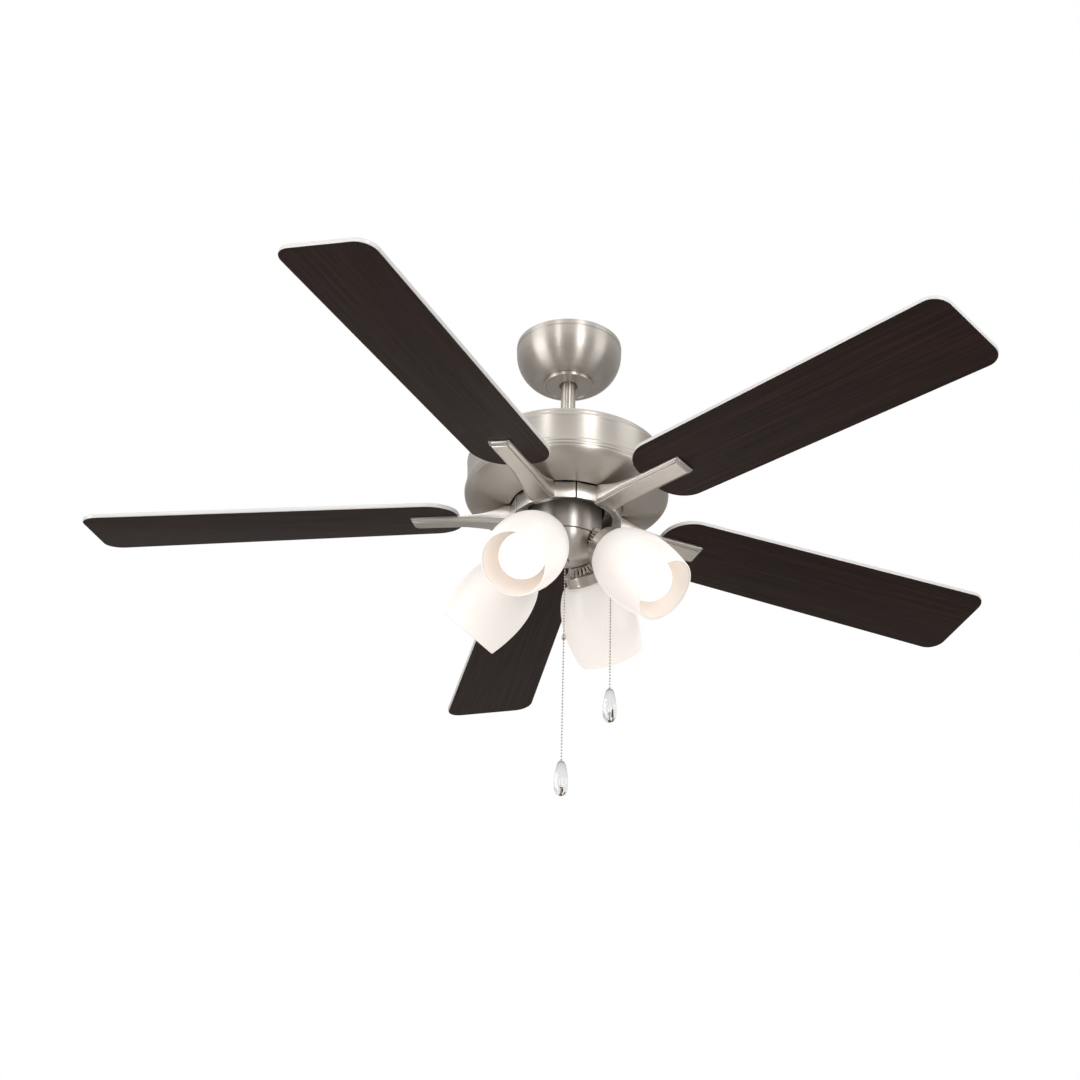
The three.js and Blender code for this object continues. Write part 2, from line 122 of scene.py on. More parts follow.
# ---- nodes ---------------------------------------------------------------
def rgb(code):
    """An sRGB hex value as the linear colour that a shader wants."""
    parts = [int(code[i:i + 2], 16) / 255 for i in (1, 3, 5)]
    return tuple(c / 12.92 if c <= 0.04045 else ((c + 0.055) / 1.055) ** 2.4 for c in parts) + (1.0,)


def add(tree, kind, sockets=None, **settings):
    """Adds a node with its settings, socket values and links."""
    made = tree.nodes.new("ShaderNode" + kind)
    for name, value in settings.items():
        setattr(made, name, value)
    for name, value in (sockets or {}).items():
        if isinstance(value, bpy.types.NodeSocket):
            tree.links.new(value, made.inputs[name])
        else:
            made.inputs[name].default_value = value
    return made


def finish(name, sockets):
    """A material with its shader's plain values set; gives back material, tree and shader."""
    coat = bpy.data.materials.new(name)
    coat.use_nodes = True
    tree = coat.node_tree
    tree.nodes.clear()
    shader = add(tree, "BsdfPrincipled", sockets)
    add(tree, "OutputMaterial", {"Surface": shader.outputs["BSDF"]})
    return coat, tree, shader


def link(tree, value, shader, socket):
    tree.links.new(value, shader.inputs[socket])


def own_place(tree):
    """Where a point is on its own piece, in metres, from before the piece was put in place."""
    return add(tree, "Attribute", attribute_name="own").outputs["Vector"]


def stretched(tree, vector, scale, shift=(0, 0, 0)):
    return add(tree, "Mapping", {"Vector": vector, "Scale": scale, "Location": shift}).outputs["Vector"]


def grain(tree, vector, size_mm, detail=3.0, roughness=0.5, distortion=0.0):
    """Noise whose lumps are about size_mm across."""
    return add(tree, "TexNoise", {
        "Vector": vector, "Scale": 1000 / size_mm, "Detail": detail,
        "Roughness": roughness, "Distortion": distortion,
    }).outputs["Fac"]


def spread(tree, value, low, high, start=0.3, end=0.7):
    """Maps the middle of a noise onto low to high."""
    return add(tree, "MapRange", {
        "Value": value, "From Min": start, "From Max": end, "To Min": low, "To Max": high,
    }).outputs["Result"]


def blended(tree, share, first, second):
    return add(tree, "Mix", {0: share, 6: first, 7: second}, data_type="RGBA").outputs[2]


def raised(tree, height, depth_mm, strength):
    return add(tree, "Bump", {
        "Height": height, "Distance": depth_mm * MM, "Strength": strength,
    }).outputs["Normal"]


# ---- finishes ------------------------------------------------------------
def turned_nickel(name, roughness):
    """Spun steel with brushed nickel plating, brushed on the lathe and lacquered: fine rings
    round the axis, a warm grey, and highlights that run up and down the form."""
    coat, tree, shader = finish(name, {
        "Metallic": 1.0, "Anisotropic": 0.9, "Anisotropic Rotation": 0.25,
    })
    own = own_place(tree)
    flat = stretched(tree, own, (1, 1, 0))
    radius = add(tree, "VectorMath", {0: flat}, operation="LENGTH").outputs["Value"]
    height = add(tree, "SeparateXYZ", {"Vector": own}).outputs["Z"]
    ringed = add(tree, "CombineXYZ", {"X": radius, "Y": height}).outputs["Vector"]
    # brush lines are 0.1 mm in truth and are drawn 1.3 mm wide so that they show
    lines = grain(tree, ringed, 1.3, detail=4, roughness=0.7)
    clouds = grain(tree, own, 60, detail=2)
    tint = blended(tree, spread(tree, lines, 0, 1), rgb("#C5BFB8"), rgb("#CEC9C2"))
    link(tree, blended(tree, spread(tree, clouds, 0, 0.3), tint, rgb("#BEB8B0")), shader, "Base Color")
    link(tree, spread(tree, lines, roughness, roughness + 0.05), shader, "Roughness")
    link(tree, raised(tree, lines, 0.02, 0.03), shader, "Normal")
    link(tree, add(tree, "Attribute", attribute_name="brush").outputs["Vector"], shader, "Tangent")
    return coat


def cast_nickel():
    """Die-cast zinc with satin nickel plating, linished along its length: straight brush
    lines, softer and a little lighter than the spun covers."""
    coat, tree, shader = finish("satin_nickel_die_cast", {"Metallic": 1.0, "Anisotropic": 0.4})
    own = own_place(tree)
    lines = grain(tree, stretched(tree, own, (0.04, 1, 1)), 1.5, detail=4, roughness=0.7)
    clouds = grain(tree, own, 24, detail=2)
    tint = blended(tree, spread(tree, lines, 0, 1), rgb("#D0CBC5"), rgb("#DAD6D1"))
    link(tree, blended(tree, spread(tree, clouds, 0, 0.3), tint, rgb("#C8C2BB")), shader, "Base Color")
    link(tree, spread(tree, lines, 0.3, 0.36), shader, "Roughness")
    link(tree, raised(tree, lines, 0.02, 0.05), shader, "Normal")
    link(tree, add(tree, "Attribute", attribute_name="brush").outputs["Vector"], shader, "Tangent")
    return coat


def painted_shade_casting(name, first, second):
    """Painted shade for deep corners inside the irons and between the flutes: a dark, dull zinc
    colour that stands in for the shade falling there."""
    coat, tree, shader = finish(name, {"Metallic": 0.9})
    skin = grain(tree, own_place(tree), 2.0, detail=4)
    link(tree, blended(tree, spread(tree, skin, 0, 1), rgb(first), rgb(second)), shader, "Base Color")
    link(tree, spread(tree, skin, 0.42, 0.5), shader, "Roughness")
    link(tree, raised(tree, skin, 0.08, 0.5), shader, "Normal")
    return coat


def polished_nickel(name, tint, roughness):
    """Small bright nickel fittings, barrel polished: nearly smooth, with faint handling wear."""
    coat, tree, shader = finish(name, {"Metallic": 1.0})
    wear = grain(tree, own_place(tree), 2.4, detail=3)
    link(tree, blended(tree, spread(tree, wear, 0, 0.5), rgb(tint), rgb("#8F8880")), shader, "Base Color")
    link(tree, spread(tree, wear, roughness, roughness + 0.12), shader, "Roughness")
    return coat


def espresso_veneer():
    """Plywood blade faced with dark espresso printed veneer under satin lacquer: long fine
    pores, slow brown streaks and a soft sheen."""
    coat, tree, shader = finish("espresso_veneer_lacquered", {"Specular IOR Level": 0.2})
    own = own_place(tree)
    # figure 14 mm wide and 350 mm long; pores 0.4 mm, drawn 1.6 mm wide so that they show
    figure = grain(tree, stretched(tree, own, (0.04, 1, 1)), 14, detail=5, roughness=0.62, distortion=0.6)
    pores = grain(tree, stretched(tree, own, (0.012, 1, 1)), 1.6, detail=3, roughness=0.6)
    streaks = grain(tree, stretched(tree, own, (0.02, 1, 1), (3, 7, 0)), 5, detail=3)
    tint = blended(tree, spread(tree, figure, 0, 1), rgb("#1E1210"), rgb("#301F1A"))
    tint = blended(tree, spread(tree, streaks, 0, 0.55, 0.45, 0.75), tint, rgb("#452B21"))
    tint = blended(tree, spread(tree, pores, 0, 0.6, 0.5, 0.7), tint, rgb("#120B09"))
    link(tree, tint, shader, "Base Color")
    link(tree, spread(tree, pores, 0.44, 0.56), shader, "Roughness")
    link(tree, raised(tree, pores, 0.05, 0.3), shader, "Normal")
    return coat


def silver_foil():
    """Silver-grey foil on the blade's top and edges: smooth, pale, with a faint long grain."""
    coat, tree, shader = finish("silver_grey_blade_foil", {"Metallic": 0.1, "Coat Weight": 0.1})
    own = own_place(tree)
    fibres = grain(tree, stretched(tree, own, (0.02, 1, 1)), 2.2, detail=4, roughness=0.6)
    tint = blended(tree, spread(tree, fibres, 0, 1), rgb("#DEDEDC"), rgb("#EDEDEC"))
    link(tree, tint, shader, "Base Color")
    link(tree, spread(tree, fibres, 0.36, 0.48), shader, "Roughness")
    return coat


def opal_glass(name, near_neck, belly, near_mouth, glow):
    """Mouth-blown opal glass, etched to satin: milky and warm. Painted shade makes it greyer at the
    neck, and a painted glow that grows towards the mouth stands in for the lamp's light through it."""
    coat, tree, shader = finish(name, {
        "Roughness": 0.34, "IOR": 1.5, "Coat Weight": 0.15, "Coat Roughness": 0.2,
    })
    own = own_place(tree)
    along = add(tree, "SeparateXYZ", {"Vector": own}).outputs["Z"]
    milk = grain(tree, own, 34, detail=2)
    # painted shade: the tint is greyer towards the neck and lighter over the belly and mouth
    upper = spread(tree, along, 0, 1, 0.0, 0.050)
    lower = spread(tree, along, 0, 1, 0.055, 0.113)
    tint = blended(tree, upper, rgb(near_neck), rgb(belly))
    tint = blended(tree, lower, tint, rgb(near_mouth))
    tint = blended(tree, spread(tree, milk, 0, 0.25), tint, rgb(belly))
    # part of the light passes on through the glass, so less of it comes back than its colour says
    link(tree, blended(tree, 0.28, tint, rgb("#78736F")), shader, "Base Color")
    # painted glow: an emission, stronger towards the mouth, stands in for the lamp's light through the glass
    link(tree, tint, shader, "Emission Color")
    link(tree, spread(tree, along, glow, glow * 1.3, 0.03, 0.113), shader, "Emission Strength")
    link(tree, raised(tree, grain(tree, own, 9, detail=1), 0.05, 0.15), shader, "Normal")
    return coat


def lamp_glass():
    """Soft-white lamp, its envelope coated white inside and glowing evenly."""
    coat, tree, shader = finish("soft_white_lamp_glass", {
        "Roughness": 0.3, "IOR": 1.5, "Emission Strength": 0.8,
    })
    powder = grain(tree, own_place(tree), 3, detail=2)
    tint = blended(tree, spread(tree, powder, 0, 1), rgb("#EFECE8"), rgb("#F4F1EC"))
    link(tree, tint, shader, "Base Color")
    link(tree, tint, shader, "Emission Color")
    return coat


def plain_stock(name, first, second, size_mm, low, high, metal=0.0, bump_mm=0.0):
    """Stock material with a fine mottle in its colour and gloss, and a slight texture."""
    coat, tree, shader = finish(name, {"Metallic": metal})
    where = add(tree, "TexCoord").outputs["Object"]
    mottle = grain(tree, where, size_mm, detail=3)
    link(tree, blended(tree, spread(tree, mottle, 0, 1), rgb(first), rgb(second)), shader, "Base Color")
    link(tree, spread(tree, mottle, low, high), shader, "Roughness")
    if bump_mm:
        link(tree, raised(tree, mottle, bump_mm, 0.5), shader, "Normal")
    return coat


def laminations():
    """Stacked electrical steel sheets, 0.5 mm each and drawn at 1 mm: dull grey edges in layers."""
    coat, tree, shader = finish("electrical_steel_stack", {"Metallic": 1.0})
    where = add(tree, "TexCoord").outputs["Object"]
    layers = add(tree, "TexWave", {"Vector": where, "Scale": 314.0, "Distortion": 0.4},
                 wave_type="BANDS", bands_direction="Z").outputs["Fac"]
    link(tree, blended(tree, layers, rgb("#4A4B4E"), rgb("#8B8C8F")), shader, "Base Color")
    link(tree, spread(tree, layers, 0.4, 0.6, 0, 1), shader, "Roughness")
    link(tree, raised(tree, layers, 0.1, 0.6), shader, "Normal")
    return coat


def winding_wire():
    """Enamelled copper wire, wound in coils: amber-brown turns, 1.2 mm apart as drawn."""
    coat, tree, shader = finish("enamelled_copper_wire", {"Metallic": 1.0, "Coat Weight": 0.5})
    where = add(tree, "TexCoord").outputs["Object"]
    turns = add(tree, "TexWave", {"Vector": where, "Scale": 260.0, "Distortion": 1.2, "Detail": 1.0},
                wave_type="RINGS", rings_direction="Z").outputs["Fac"]
    link(tree, blended(tree, turns, rgb("#5A2B16"), rgb("#B8683A")), shader, "Base Color")
    link(tree, spread(tree, turns, 0.25, 0.4, 0, 1), shader, "Roughness")
    link(tree, raised(tree, turns, 0.3, 0.8), shader, "Normal")
    return coat


def clear_acrylic():
    """Cast clear acrylic, polished: a bright drop whose edge darkens by refraction."""
    coat, tree, shader = finish("clear_cast_acrylic", {
        "Base Color": rgb("#F4F6F6"), "Transmission Weight": 1.0, "IOR": 1.49,
    })
    haze = grain(tree, own_place(tree), 6, detail=2)
    link(tree, spread(tree, haze, 0.06, 0.1), shader, "Roughness")
    return coat


NICKEL = turned_nickel("brushed_nickel_spun", 0.38)
FITTER_NICKEL = turned_nickel("brushed_nickel_fitters_smoother", 0.3)
CAST = cast_nickel()
# painted shade: a darker coat for the recess inside the ring of iron feet
IRON_PAINTED_SHADE = painted_shade_casting("painted_shade_inside_of_irons", "#8E857B", "#A39A90")
# painted shade: a dark coat for the valleys between the fitters' flutes
FLUTE_PAINTED_SHADE = painted_shade_casting("painted_shade_in_flute_valleys", "#4A443E", "#625A52")
BRIGHT = polished_nickel("bright_nickel_fittings", "#C9C3BA", 0.16)
CHAIN = polished_nickel("nickel_ball_chain", "#CFCAC4", 0.14)
VENEER = espresso_veneer()
FOIL = silver_foil()
# one opal glass in two copies with painted light: a strong painted glow outside, and inside a weaker one with
# a warmer painted tint
SHADE_OUT = opal_glass("opal_glass_outside", "#E4E0DD", "#F4EEE9", "#F6EFE9", 0.46)
SHADE_IN = opal_glass("opal_glass_inside", "#EEE6DE", "#F5ECE4", "#F8F1EB", 0.17)
LAMP = lamp_glass()
PORCELAIN = plain_stock("glazed_porcelain", "#E8E4DA", "#F2EFE8", 12, 0.12, 0.2)
ZINC = plain_stock("zinc_plated_steel", "#8E9092", "#A9ABAD", 5, 0.3, 0.48, metal=1.0, bump_mm=0.02)
ALUMINIUM = plain_stock("die_cast_aluminium", "#A9ABAD", "#BFC1C2", 1.5, 0.38, 0.52, metal=1.0, bump_mm=0.06)
BEARING = plain_stock("ground_bearing_steel", "#9A9B9D", "#B2B3B5", 0.9, 0.14, 0.24, metal=1.0)
RUBBER = plain_stock("moulded_damping_rubber", "#161616", "#242425", 1.2, 0.7, 0.86, bump_mm=0.08)
NYLON = plain_stock("glass_filled_nylon", "#1B1B1D", "#2A2A2C", 0.8, 0.42, 0.56, bump_mm=0.04)
ABS = plain_stock("black_moulded_abs", "#1D1D20", "#2A2A2E", 0.8, 0.4, 0.52, bump_mm=0.04)
BRASS = plain_stock("turned_brass", "#8F6A33", "#B98F4C", 0.8, 0.22, 0.34, metal=1.0)
FIBRE = plain_stock("red_fibre_washer", "#6B2A22", "#7E3A2E", 0.8, 0.6, 0.75, bump_mm=0.05)
STACK = laminations()
WIRE = winding_wire()
ACRYLIC = clear_acrylic()


# ---- shaping -------------------------------------------------------------
def eased(points, steps=3):
    """An outline with rounded corners: a point is (radius, height) or (radius, height, fillet)."""
    smooth = []
    for i, point in enumerate(points):
        here = Vector(point[:2])
        fillet = point[2] if len(point) > 2 else 0
        if not fillet or i in (0, len(points) - 1):
            smooth.append(here)
            continue
        before, after = Vector(points[i - 1][:2]) - here, Vector(points[i + 1][:2]) - here
        reach = min(fillet, before.length * 0.49, after.length * 0.49)
        start, end = here + before.normalized() * reach, here + after.normalized() * reach
        for k in range(steps + 1):
            t = k / steps
            smooth.append(start.lerp(here, t).lerp(here.lerp(end, t), t))
    return [tuple(p) for p in smooth]


def flowing(points, steps=4):
    """A smooth outline through the points."""
    p = [Vector(q) for q in points]
    p = [2 * p[0] - p[1], *p, 2 * p[-1] - p[-2]]
    curve = []
    for a, b, c, d in zip(p, p[1:], p[2:], p[3:]):
        for k in range(steps):
            t = k / steps
            curve.append(0.5 * (2 * b + (c - a) * t + (2 * a - 5 * b + 4 * c - d) * t ** 2
                                + (3 * b - a - 3 * c + d) * t ** 3))
    return [tuple(q) for q in [*curve, p[-2]]]


def walled(outline, thickness=SHEET):
    """Closes an outline into a wall, whose inside is on the outline's left."""
    inside = []
    for i, (r, z) in enumerate(outline):
        before, after = outline[max(i - 1, 0)], outline[min(i + 1, len(outline) - 1)]
        run = Vector((after[0] - before[0], after[1] - before[1])).normalized()
        inside.append((r - run.y * thickness, z + run.x * thickness))
    return [*outline, *reversed(inside)]


def clean(bm):
    bmesh.ops.remove_doubles(bm, verts=bm.verts, dist=0.0015)
    bmesh.ops.recalc_face_normals(bm, faces=bm.faces)
    return bm


def turned(outline, steps=96):
    """Revolves an outline of (radius, height) points about Z, joined end to end."""
    bm = bmesh.new()
    rim = [bm.verts.new((r, 0, z)) for r, z in outline]
    edges = [bm.edges.new(pair) for pair in zip(rim, rim[1:])]
    if outline[0][0] > 0 or outline[-1][0] > 0:
        edges.append(bm.edges.new((rim[-1], rim[0])))
    bmesh.ops.spin(bm, geom=rim + edges, cent=(0, 0, 0), axis=(0, 0, 1), angle=math.tau,
                   steps=steps, use_merge=True)
    return clean(bm)


def slab(corners, low, high):
    """A flat plate of that outline, from low to high."""
    bm = bmesh.new()
    face = bm.faces.new([bm.verts.new((x, y, low)) for x, y in corners])
    grown = bmesh.ops.extrude_face_region(bm, geom=[face])
    lifted = [v for v in grown["geom"] if isinstance(v, bmesh.types.BMVert)]
    bmesh.ops.translate(bm, verts=lifted, vec=(0, 0, high - low))
    return clean(bm)


def block(sx, sy, sz, x=0, y=0, z=0):
    bm = bmesh.new()
    bmesh.ops.create_cube(bm, size=1, matrix=at(x, y, z) @ Matrix.Diagonal((sx, sy, sz, 1)))
    return bm


def skinned(rows):
    """A body skinned over rows of equally many points, closed round and capped at both ends."""
    last, count = len(rows) - 1, len(rows[0])
    bm = bmesh.new()
    bmesh.ops.create_grid(bm, x_segments=last, y_segments=count, size=1)
    for v in bm.verts:
        row = round((v.co.x + 1) / 2 * last)
        v.co = rows[row][round((v.co.y + 1) / 2 * count) % count]
    bmesh.ops.remove_doubles(bm, verts=bm.verts, dist=0.0015)
    bmesh.ops.holes_fill(bm, edges=[e for e in bm.edges if e.is_boundary], sides=0)
    return clean(bm)


def soften(bm, offset, segments=2, sharper=40, where=lambda point: True):
    """Rounds every edge that is sharper than an angle, where the edge's middle passes."""
    edges = [e for e in bm.edges if len(e.link_faces) == 2
             and math.degrees(e.calc_face_angle(0)) > sharper
             and where((e.verts[0].co + e.verts[1].co) / 2)]
    bmesh.ops.bevel(bm, geom=edges, offset=offset, offset_type="OFFSET", segments=segments,
                    profile=0.5, affect="EDGES", clamp_overlap=True, material=-1)
    return bm


def remember(bm):
    """Keeps each point's present place as the piece's own coordinates, in metres, and with it
    the way round the piece's own axis, along which a lathe brushes it."""
    layers = bm.verts.layers.float_vector
    for name in ("own", "brush"):
        if not layers.get(name):
            layers.new(name)
    own, brush = layers["own"], layers["brush"]
    for v in bm.verts:
        v[own] = v.co * MM
        v[brush] = Vector((-v.co.y, v.co.x, 0)).normalized()
    return bm


def placed(bm, matrix):
    """A copy that remembers its own coordinates and stands in its place."""
    moved = bm.copy()
    if not moved.verts.layers.float_vector.get("own"):
        remember(moved)
    moved.transform(matrix)
    brush, turn = moved.verts.layers.float_vector["brush"], matrix.to_3x3()
    for v in moved.verts:
        v[brush] = turn @ v[brush]
    return moved


def gathered(*parts):
    """Several bodies as one piece."""
    whole = bmesh.new()
    for part in parts:
        if not part.verts.layers.float_vector.get("own"):
            remember(part)
        held = bpy.data.meshes.new("held")
        part.to_mesh(held)
        whole.from_mesh(held)
        bpy.data.meshes.remove(held)
    return whole


def carved(bm, *tools, operation="DIFFERENCE"):
    """Cuts the tools out of a body, or joins them to it."""
    if not bm.verts.layers.float_vector.get("own"):
        remember(bm)
    stand_ins = []
    for shape in (bm, *tools):
        mesh = bpy.data.meshes.new("shape")
        shape.to_mesh(mesh)
        stand_in = bpy.data.objects.new("shape", mesh)
        bpy.context.scene.collection.objects.link(stand_in)
        stand_ins.append(stand_in)
    for tool in stand_ins[1:]:
        cut = stand_ins[0].modifiers.new("cut", "BOOLEAN")
        cut.object, cut.operation, cut.solver = tool, operation, "EXACT"
    depsgraph = bpy.context.evaluated_depsgraph_get()
    result = bmesh.new()
    result.from_mesh(stand_ins[0].evaluated_get(depsgraph).to_mesh())
    for stand_in in stand_ins:
        mesh = stand_in.data
        bpy.data.objects.remove(stand_in)
        bpy.data.meshes.remove(mesh)
    bmesh.ops.remove_doubles(result, verts=result.verts, dist=0.006)
    return result


def make(name, bm, coats, body, stands_for=(), crease=32):
    """Seats a finished body in the frame as a piece that rides on a CAD body."""
    if not bm.verts.layers.float_vector.get("own"):
        remember(bm)
    bm.transform(SEAT)
    mesh = bpy.data.meshes.new(name)
    bm.to_mesh(mesh)
    bm.free()
    for coat in coats if isinstance(coats, tuple) else (coats,):
        mesh.materials.append(coat)
    mesh.polygons.foreach_set("use_smooth", [True] * len(mesh.polygons))
    mesh.set_sharp_from_angle(angle=math.radians(crease))
    piece = bpy.data.objects.new(name, mesh)
    bpy.context.scene.collection.objects.link(piece)
    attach(piece, body)
    if stands_for:
        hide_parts(*stands_for)
    return piece


# ---- pull chains ---------------------------------------------------------
def ball_chain(path):
    """Hollow balls on a thin wire, along a path."""
    bm = bmesh.new()
    lengths = [(b - a).length for a, b in zip(path, path[1:])]
    total = sum(lengths)
    count = round((total - CHAIN_BEAD) / CHAIN_PITCH) + 1
    centres = []
    for k in range(count):
        left = CHAIN_BEAD / 2 + (total - CHAIN_BEAD) * k / (count - 1)
        for (a, b), length in zip(zip(path, path[1:]), lengths):
            if left <= length or b is path[-1]:
                centres.append(a.lerp(b, left / length))
                break
            left -= length
    for centre in centres:
        bmesh.ops.create_uvsphere(bm, u_segments=8, v_segments=6, radius=CHAIN_BEAD / 2,
                                  matrix=Matrix.Translation(centre))
    for a, b in zip(centres, centres[1:]):
        lean = (b - a).to_track_quat("Z", "Y").to_matrix().to_4x4()
        bmesh.ops.create_cone(bm, cap_ends=True, segments=6, radius1=0.4, radius2=0.4,
                              depth=(b - a).length - 1.2, matrix=Matrix.Translation((a + b) / 2) @ lean)
    return bm


def run_of(x, y, top, bottom, count):
    return [Vector((x, y, top + (bottom - top) * k / (count - 1))) for k in range(count)]


def pull_drop(top, place):
    """A clear teardrop with a nickel cap, a steel core and a brass nut under it."""
    drop = turned(flowing([
        (0, -47.2), (3.6, -46.9), (7.0, -44.2), (8.8, -38.4), (9.1, -31), (8.5, -21.6), (7.1, -12),
        (5.2, -4.6), (3.4, -1.7), (1.2, -1.3), (0, -1.3),
    ]), 40)
    cap = turned(eased([(0, 0.3), (1.4, 0.3, 0.4), (2.2, -0.5, 0.3), (2.2, -1, 0.1), (0, -1)]), 32)
    core = turned([(0, -45.6), (0.6, -45.6), (0.6, -38), (1.2, -37.2), (1.2, -35), (0, -34.4)], 16)
    nut = turned(eased([(0, -48), (1.8, -48, 0.4), (2.4, -46.4, 0.3), (1.6, -44.6), (0, -44.4)]), 20)
    lowered = place @ at(0, 0, top)
    return placed(drop, lowered), gathered(placed(cap, lowered), placed(core, lowered)), placed(nut, lowered)


def fan_pull():
    upper = run_of(0, 0, FAN_CHAIN_START, CONNECTOR_Z + GAP, 15)
    lower = run_of(0, 0, CONNECTOR_Z - CONNECTOR_LENGTH - GAP, FAN_CHAIN_END, 20)
    joiner = make("fan_chain_joiner", placed(turned(eased([
        (0, -CONNECTOR_LENGTH), (2.2, -CONNECTOR_LENGTH, 0.5), (2.9, -5, 0.5), (2.3, -3.6, 0.4),
        (2.3, -2.8, 0.4), (2.8, -1.6, 0.5), (1.6, 0, 0.5), (0, 0),
    ]), 32), at(0, 0, CONNECTOR_Z)), BRIGHT, "fan_pull", ["fan_chain_connector"])
    first = make("fan_chain_upper_balls", ball_chain(upper), CHAIN, "fan_pull", ["fan_chain_upper"],
                 crease=60)
    second = make("fan_chain_lower_balls", ball_chain(lower), CHAIN, "fan_pull", ["fan_chain_lower"],
                  crease=60)
    drop, fittings, nut = pull_drop(FAN_CHAIN_END - GAP, Matrix.Identity(4))
    drop = make("fan_pull_drop", drop, ACRYLIC, "fan_pull", ["fan_pendant"])
    fittings = make("fan_pull_cap_and_core", fittings, BRIGHT, "fan_pull")
    nut = make("fan_pull_nut", nut, BRASS, "fan_pull")


def light_pull():
    start = [Vector((HOUSING_R + 12.8, 0, GUIDE_Z)), Vector((62.4, 0, GUIDE_Z - 0.8)),
             Vector((63.7, 0, GUIDE_Z - 2.6))]
    hang = run_of(LIGHT_CHAIN_R, 0, GUIDE_Z - 6, LIGHT_CHAIN_END, 20)
    path = [around(GUIDE_AZIMUTH) @ p for p in [*start, *hang]]
    chain = make("light_chain_balls", ball_chain(path), CHAIN, "light_pull", ["light_chain"],
                 crease=60)
    place = around(GUIDE_AZIMUTH) @ at(LIGHT_CHAIN_R, 0, 0)
    drop, fittings, nut = pull_drop(LIGHT_CHAIN_END - GAP, place)
    drop = make("light_pull_drop", drop, ACRYLIC, "light_pull", ["light_pendant"])
    fittings = make("light_pull_cap_and_core", fittings, BRIGHT, "light_pull")
    nut = make("light_pull_nut", nut, BRASS, "light_pull")


fan_pull()
light_pull()


# ---- screws --------------------------------------------------------------
def screw_head(radius, height):
    """A pan head with a cross recess, its seat at zero."""
    head = turned([(0, height), (radius * 0.45, height * 0.96), (radius * 0.78, height * 0.72),
                   (radius * 0.96, height * 0.34), (radius, 0), (0, 0)], 24)
    arm, wide = radius * 1.1, radius * 0.26
    return carved(head, block(arm, wide, height, z=height * 1.05), block(wide, arm, height, z=height * 1.05))


def screws(name, radius, height, places, body, coat=BRIGHT):
    head = screw_head(radius, height)
    return make(name, gathered(*[placed(head, place) for place in places]), coat, body, crease=40)


def on_wall(azimuth, radius, height):
    """A place on a round wall, its Z pointing out."""
    return around(azimuth) @ at(radius, 0, height) @ around(90, "Y")


# ---- ceiling mount -------------------------------------------------------
def ceiling_mount():
    dome = flowing([(36, 210), (46, 212.2), (54.5, 217.5), (61.2, 224.5), (66.2, 232), (69.6, 240),
                    (71.6, 247.5), (72.4, 255)], 5)
    canopy = turned([
        (15, 210), *dome, (72.5, 261.0), (72.1, 261.5), (72.1, 262.3), (72.7, 262.8), (72.6, 266.5),
        (72.0, CEILING - 0.7), (71.4, CEILING - 0.5), (70.8, CEILING - 0.7), (71.2, 255), (70.4, 247.8),
        (68.4, 240.4), (65.1, 232.6), (60.3, 225.2), (53.8, 218.5), (45.4, 213.4), (36, 211.2), (15, 211.2),
    ], 128)
    make("canopy_dome", canopy, NICKEL, "ceiling_mount", ["canopy"])
    ring = turned(eased([(12.8, 206.4), (13.4, 206, 0.3), (30.2, 206, 0.5), (31.2, 204.9, 0.5),
                         (33.6, 204.6, 0.7), (34.6, 205.8, 0.6), (34.6, 209.7), (12.8, 209.7)]), 96)
    make("canopy_trim_ring", ring, NICKEL, "ceiling_mount", ["canopy_ring"])
    plate = [at(side * 46, y, CEILING - 2.4) @ around(180, "X") for side in (-1, 1) for y in (-15, 15)]
    screws("bracket_screws", 3.4, 2.2, plate, "ceiling_mount", ZINC)


BALL_R, BALL_BORE, BALL_Z = 22.5, 11.6, 235.0
ROD_R, ROD_BORE, ROD_LOW, ROD_HIGH = 10.0, 8.4, 113.0, 253.0
PIN_R, PIN_HOLE_R, LOW_PIN_Z = 3.0, 3.3, 126.0


def rod_along_z(radius, half_length):
    return turned([(0, -half_length), (radius, -half_length), (radius, half_length), (0, half_length)], 24)


def hanger():
    reach = math.acos(BALL_BORE / BALL_R)
    ball = turned([(BALL_R * math.cos(reach * k / 12), BALL_Z + BALL_R * math.sin(reach * k / 12))
                   for k in range(-12, 13)], 64)
    across = at(0, 0, BALL_Z) @ around(90, "X")
    drill = rod_along_z(PIN_HOLE_R, 30)
    pin_hole = placed(drill, across)
    make("hanger_ball_nylon", carved(ball, pin_hole), NYLON, "tilt_ball", ["hanger_ball"])
    pin = soften(rod_along_z(PIN_R, 19), 0.5)
    make("hanger_cross_pin", placed(pin, across), ZINC, "tilt_ball", ["hanger_pin"])
    rod = turned(eased([(ROD_BORE, ROD_LOW), (ROD_R, ROD_LOW, 0.4), (ROD_R, ROD_HIGH, 0.4),
                        (ROD_BORE, ROD_HIGH)]), 64)
    low_hole = placed(drill, at(0, 0, LOW_PIN_Z) @ around(90, "Y"))
    make("downrod_tube", carved(rod, pin_hole, low_hole), NICKEL, "fan_body", ["downrod"])
    cover = walled(flowing([(34, 100.2), (33.4, 112), (31, 124), (24, 140), (15, 148.6), (10.6, 150)], 5))
    make("coupling_cover_spun", turned(cover, 80), NICKEL, "fan_body", ["coupling_cover"])


